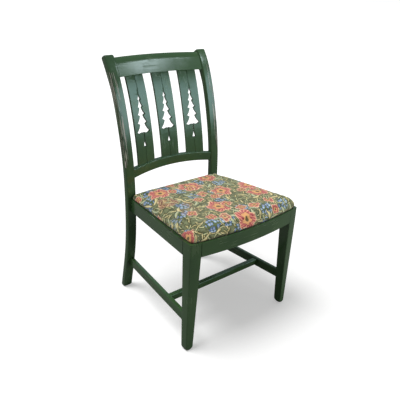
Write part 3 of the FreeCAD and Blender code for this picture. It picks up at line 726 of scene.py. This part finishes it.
def tapestry():
    """Woven flower cloth: leaves, blooms and small blue clusters scattered on an olive ground. Each scatter
    takes the nearest of a set of random points, turns the place about it, and draws one motif there."""
    material, shader, _ = new_material("tapestry")
    tree = material.node_tree
    reader = tree.nodes.new("ShaderNodeAttribute")
    reader.attribute_name = "cloth"
    spread = Shade(tree, reader.outputs["Vector"])
    cloth = spread.times((1.0, 1.0, 0.0))
    height = spread.part(2)
    wobble = cloth.cloud(38.0, 2.0, "Color").less((0.5, 0.5, 0.5)).times((0.012, 0.012, 0.0))
    place = cloth.moved(wobble)

    def scatter(per_metre, shift, jitter):
        """Place relative to the nearest random point, and three random numbers of that point."""
        spot = place.moved(shift)
        cell = spot.node("ShaderNodeTexVoronoi", {"voronoi_dimensions": "2D"},
                         {"Vector": spot, "Scale": per_metre, "Randomness": jitter}, "Position")
        dice = Shade(tree, cell.socket.node.outputs["Color"])
        return spot.less(cell), [dice.part(i) for i in range(3)]

    def turned(local, turn):
        """The place's two parts after a turn about its point."""
        x = local.part(0)
        y = local.part(1)
        c = turn.wave("COSINE")
        s = turn.wave("SINE")
        return x * c + y * s, y * c - x * s

    def polar(u, v):
        """Distance from the point and direction about it."""
        return (u * u + v * v).root(), v.sum("ARCTAN2", v, u)

    def grows(dice, share):
        """1 at that share of the points, 0 at the rest."""
        return dice[2].rise(1 - share - chance_blur, 1 - share + chance_blur)

    def leaves(under, per_metre, shift, length, width, bias, tones, share):
        """Bent lens shapes with a midrib, veins and an inked edge, each half in its own tone."""
        pale, deep = tones
        local, dice = scatter(per_metre, shift, 0.8)
        u, v = turned(local, dice[0] * 2.6 + bias)
        v = v + u * u * (dice[1] - 0.5) * (1.3 / length)
        taper = u / length
        inside = (1 - taper * taper) * width - abs(v)
        half = v.rise(-2 * soft_edge, 2 * soft_edge)
        veins = ((u + abs(v) * -0.9) * (2 * math.pi / vein_pitch)).wave().rise(0.0, 0.8)
        blade = (half * 0.5 + veins * 0.45).tint(deep, pale)
        blade = abs(v).rise(0.0013, 0.0005).tint(blade, colour("e6dba2"))
        blade = inside.rise(0.0021, 0.0012).tint(blade, outline_ink)
        return (inside.rise(-soft_edge, soft_edge) * grows(dice, share)).tint(under, blade)

    def blooms(under, per_metre, shift, radius, petals, share):
        """Ruffled lobed rounds with rays, a pale rim, an inked edge, a lobed heart and a dark eye."""
        local, dice = scatter(per_metre, shift, 0.55)
        u, v = turned(local, dice[0] * any_turn)
        reach, turn = polar(u * (0.72 + dice[1] * 0.4), v)
        lobe_turn = turn * (petals / 2)
        ruffle = place.moved(shift).cloud(90.0, 2.0) * 0.5
        edge = (abs(lobe_turn.wave("COSINE")) * 0.26 + ruffle + 0.5) * radius
        inner = (abs((lobe_turn + 0.8).wave("COSINE")) * 0.3 + ruffle + 0.22) * radius * 0.72
        rays = (turn * 17.0 + reach * 260.0).wave().rise(-0.1, 0.6)
        outer = (reach / edge).rise(0.3, 1.0)
        petal = (outer * 0.35 + rays * 0.65).tint(colour("a02a42"), colour("f0a08c"))
        petal = (dice[1].rise(0.2, 0.8) * 0.45).tint(petal, colour("b04a52"))
        petal = (edge - reach).rise(0.0050, 0.0030).tint(petal, colour("f6dcae"))
        petal = (edge - reach).rise(0.0020, 0.0010).tint(petal, colour("4f2024"))
        heart = (outer + rays * 0.4).tint(colour("e8b876"), colour("c4525a"))
        heart = (inner - reach).rise(0.0018, 0.0009).tint(heart, colour("6a2c38"))
        petal = (inner - reach).rise(-crisp_edge, crisp_edge).tint(petal, heart)
        petal = reach.rise(radius * 0.2, radius * 0.16).tint(petal, colour("6a5c3a"))
        return ((edge - reach).rise(-soft_edge, soft_edge) * grows(dice, share)).tint(under, petal)

    def clusters(under, per_metre, shift, radius, share):
        """Ragged patches of five-lobed blue florets with yellow eyes on dark leaf green."""
        around, chance = scatter(per_metre, shift, 0.75)
        apart = around.node("ShaderNodeVectorMath", {"operation": "LENGTH"}, {0: around}, "Value")
        ragged = place.cloud(70.0, 2.0) * 0.012
        here = (apart + ragged).rise(radius + 0.006, radius + 0.004) * grows(chance, share)
        local, dice = scatter(florets_per_metre, (0.3, 0.7, 0.0), 0.55)
        reach, turn = polar(*turned(local, dice[0] * any_turn))
        edge = (abs((turn * 2.5).wave("COSINE")) * 0.4 + 0.6) * floret_radius
        floret = dice[1].tint(colour("6787c2"), colour("abcdea"))
        floret = (edge - reach).rise(0.0012, 0.0005).tint(floret, colour("44506e"))
        floret = reach.rise(0.0017, 0.0012).tint(floret, colour("e3cf8a"))
        shade = (edge - reach).rise(-crisp_edge, crisp_edge).tint(colour("56663f"), floret)
        return here.tint(under, shade)

    tone = place.cloud(60.0, 3.0).rise(0.35, 0.65).tint(colour("545a3e"), colour("848c66"))
    tone = leaves(tone, 42.0, (0.11, 0.05, 0.0), 0.0125, 0.0050, 0.3, olive, 1.0)
    tone = leaves(tone, 35.0, (0.43, 0.29, 0.0), 0.0150, 0.0050, -0.6, sage, 0.85)
    tone = leaves(tone, 32.0, (0.77, 0.61, 0.0), 0.0165, 0.0044, 1.1, cream, 0.6)
    tone = clusters(tone, 11.0, (0.57, 0.37, 0.0), 0.028, 0.8)
    tone = leaves(tone, 20.0, (0.35, 0.71, 0.0), 0.0250, 0.0082, 0.5, mist, 0.6)
    tone = leaves(tone, 19.0, (0.05, 0.47, 0.0), 0.0260, 0.0074, -0.3, cream, 0.42)
    tone = blooms(tone, 9.0, (0.29, 0.64, 0.0), 0.043, 5.0, 0.56)
    tone = blooms(tone, 15.0, (0.83, 0.12, 0.0), 0.022, 4.0, 0.3)
    tone = leaves(tone, 24.0, (0.91, 0.17, 0.0), 0.0200, 0.0050, 0.7, sage, 0.3)
    warp, weft = [(cloth.part(axis) * (2 * math.pi / thread_pitch)).wave() for axis in (0, 1)]
    stipple = cloth.cloud(620.0, 2.0)
    tone = (stipple.rise(0.35, 0.75) * 0.2).tint(tone, colour("3d3a2a"))
    tone = (stipple.rise(0.5, 0.2) * 0.2).tint(tone, colour("efe6c4"))
    # Painted shadow: the cloth is darkened within a few millimetres above the rails, where the rolled edge
    # shades the gap to the rails, and the turned-under edge is dark throughout.
    tone = (height.rise(*painted_base_shadow) * 0.85).tint(tone, colour("1c1a13"))
    feed(shader, Base_Color=tone, Normal=(warp * weft + stipple).relief(0.35, thread_depth), Roughness=0.92,
         Specular_IOR_Level=0.2, Sheen_Weight=0.15)
    return material


tapestry_cloth = tapestry()
lay_cloth(cushion)
cushion.data.materials.append(tapestry_cloth)
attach(cushion, "seat")
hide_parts("seat_foam_pad")

# Cover's turned-under edge: the same tapestry, drawn down round the edge of the board and stapled to its
# underside, with the dust cloth over its raw edge.
hem = 0.050
fold = 0.002
board_slack = 0.0001
wrap_top = board_high + fold
wrap_inner = cover_thickness + board_slack
wrap_under = board_low - board_slack
fold_cut = 0.0006
wrap_section = np.array([[0.0, wrap_top], [0.0, ledge + fold], [fold_cut, ledge + fold_cut], [fold, ledge],
                         [hem, ledge], [hem, wrap_under], [wrap_inner, wrap_under], [wrap_inner, wrap_top]])
wrap_rings = np.array([at_height(seat_ring(-inset, front_round, rear_round), z) for inset, z in wrap_section])
wrap = ring_mesh("seat_cover_edge", wrap_rings, True)
wrap.data.set_sharp_from_angle(angle=math.radians(50))
put_points(wrap.data, laid_down(points_of(wrap.data)))
lay_cloth(wrap)
wrap.data.materials.append(tapestry_cloth)
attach(wrap, "seat")
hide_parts("seat_cover")

# Dust cloth: thin black cambric, stapled under the seat to hide the board and the cover's raw edges. It sags
# a little between its edges.
cloth_inset = 0.036
cloth_gap = 0.0004
cloth_sag = 0.0022
cloth_thickness = 0.0006
cambric_threads = 5200.0
cambric_depth = 0.0003
cloth_shares = np.linspace(1, 0, 16)
cloth_outer = at_height(seat_ring(-cloth_inset, front_round, rear_round), ledge - cloth_gap)
cloth_middle = cloth_outer.mean(0)
cloth_rings = cloth_middle + (cloth_outer - cloth_middle) * cloth_shares[:, None, None]
cloth_rings[:, :, 2] -= cloth_sag * np.sin((1 - cloth_shares) * math.pi / 2)[:, None] ** 2
dust_cloth = ring_mesh("seat_underside_cloth", cloth_rings, False)
put_points(dust_cloth.data, laid_down(points_of(dust_cloth.data)))
cambric, cambric_shader, cambric_place = new_material("cambric")
cambric_warp, cambric_weft = [(cambric_place.part(axis) * cambric_threads).wave() for axis in (0, 1)]
cambric_dust = cambric_place.cloud(30.0, 5.0).rise(0.45, 0.8)
feed(cambric_shader, Base_Color=(cambric_dust * 0.5).tint(colour("1c1c1d"), colour("3c3a37")),
     Roughness=0.85 + cambric_dust * 0.1, Normal=(cambric_warp * cambric_weft).relief(0.2, cambric_depth))
dust_cloth.data.materials.append(cambric)
thicken = dust_cloth.modifiers.new("thickness", "SOLIDIFY")
thicken.thickness = cloth_thickness
thicken.offset = 0.0
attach(dust_cloth, "seat")
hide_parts("seat_dust_cloth")
flat_next = np.roll(cloth_outer, -1, 0)
flat_sweep = cloth_outer[:, 0] * flat_next[:, 1] - flat_next[:, 0] * cloth_outer[:, 1]
flat_area = abs(float(flat_sweep.sum())) / 2

# Studio: a white floor that fades to plain white away from the chair, and white surroundings. A soft sun from
# behind on the left throws the shadow, and three lamps on the right light the chair but not the floor: a cool
# window and a sky glow that show only as reflections, and a fill for the front that shows in none.
white = (1.0, 1.0, 1.0, 1.0)
floor_half = 40
floor_bounce = (0.3, 0.3, 0.3, 1.0)
veil_strength = 1.25
veil_near_share = 0.30
veil_fade = (0.35, 1.0)
floor_mesh = bpy.data.meshes.new("floor")
floor_corners = [(-floor_half, -floor_half, 0), (floor_half, -floor_half, 0), (floor_half, floor_half, 0),
                 (-floor_half, floor_half, 0)]
floor_mesh.from_pydata(floor_corners, [], [(0, 1, 2, 3)])
floor = placed("floor", floor_mesh)
floor_white, floor_shader, floor_place = new_material("floor_white")
looked_at = floor_place.node("ShaderNodeLightPath", outlet="Is Camera Ray")
feed(floor_shader, Base_Color=looked_at.tint(floor_bounce, white), Roughness=1.0, Specular_IOR_Level=0.0)
floor_x, floor_y = [floor_place.part(axis) for axis in (0, 1)]
away = (floor_x * floor_x + floor_y * floor_y).rise(*veil_fade)
veil = looked_at * (veil_near_share + away * (1 - veil_near_share))
glow = looked_at.node("ShaderNodeEmission", None, {"Strength": veil_strength})
floor_tree = floor_white.node_tree
lit = Shade(floor_tree, floor_shader.outputs["BSDF"])
veiled = looked_at.node("ShaderNodeMixShader", None, {0: veil, 1: lit, 2: glow})
floor_tree.links.new(veiled.socket, floor_tree.nodes["Material Output"].inputs["Surface"])
floor_mesh.materials.append(floor_white)

sky_light = (0.33, 0.33, 0.325, 1.0)
sky_mirrored = (0.32, 0.42, 0.46, 1.0)
world = bpy.data.worlds.new("surroundings")
bpy.context.scene.world = world
world.use_nodes = True
sky = world.node_tree
seen = Shade(sky, sky.nodes.new("ShaderNodeLightPath").outputs["Is Camera Ray"])
mirrored = Shade(sky, seen.socket.node.outputs["Is Glossy Ray"])
feed(sky.nodes["Background"], Color=seen.tint(mirrored.tint(sky_light, sky_mirrored), white))

sun_from = Vector((-0.36, 0.18, 1.0))
sun = bpy.data.lights.new("soft_lamp", "SUN")
sun.energy = 2.4
sun.angle = math.radians(30)
placed("soft_lamp", sun).rotation_euler = sun_from.to_track_quat("Z", "Y").to_euler()

lamp_aim = Vector((0, 0.22, 0.8))
not_lit = bpy.data.collections.new("not_lit_by_lamps")
not_lit.objects.link(floor)
for name, width, height, power, tint, place, glossy in (
        ("window", 0.30, 0.32, 6.2, (0.78, 0.95, 1.0), (1.44, -1.05, 2.32), True),
        ("sky_glow", 2.0, 1.1, 32.0, (0.62, 0.92, 1.0), (1.62, -1.94, 1.40), True),
        ("front_fill", 2.0, 1.1, 38.0, (1.0, 0.98, 0.94), (1.62, -1.94, 1.36), False)):
    lamp = bpy.data.lights.new(name, "AREA")
    lamp.shape = "RECTANGLE"
    lamp.size = width
    lamp.size_y = height
    lamp.energy = power
    lamp.color = tint
    lamp_object = placed(name, lamp)
    lamp_object.location = place
    lamp_object.rotation_euler = (Vector(place) - lamp_aim).to_track_quat("Z", "Y").to_euler()
    lamp_object.visible_camera = False
    lamp_object.visible_glossy = glossy
    lamp_object.visible_diffuse = not glossy
    lamp_object.light_linking.receiver_collection = not_lit
not_lit.collection_objects[0].light_linking.link_state = "EXCLUDE"

camera_turn = math.radians(-40.0)
camera_lift = math.radians(24.2)
camera_roll = math.radians(2.3)
camera_distance = 1.8619
camera_aim = Vector((0.0013, to_centre - 0.1559, 0.424))
focal_pixels = 486.2
picture_pixels = 400
back = Vector((math.sin(camera_turn) * math.cos(camera_lift), -math.cos(camera_turn) * math.cos(camera_lift),
               math.sin(camera_lift)))
across = (-back).cross(Vector((0, 0, 1))).normalized()
upward = across.cross(-back)
camera = bpy.data.cameras.new("camera")
camera.sensor_width = 36.0
camera.lens = camera.sensor_width * focal_pixels / picture_pixels
camera.clip_end = 200.0
camera_object = placed("camera", camera)
camera_axes = Matrix((across * math.cos(camera_roll) + upward * math.sin(camera_roll),
                      upward * math.cos(camera_roll) - across * math.sin(camera_roll), back))
camera_object.matrix_world = (Matrix.Translation(camera_aim + back * camera_distance)
                              @ camera_axes.transposed().to_4x4())
bpy.context.scene.camera = camera_object
bpy.context.scene.view_settings.view_transform = "Standard"
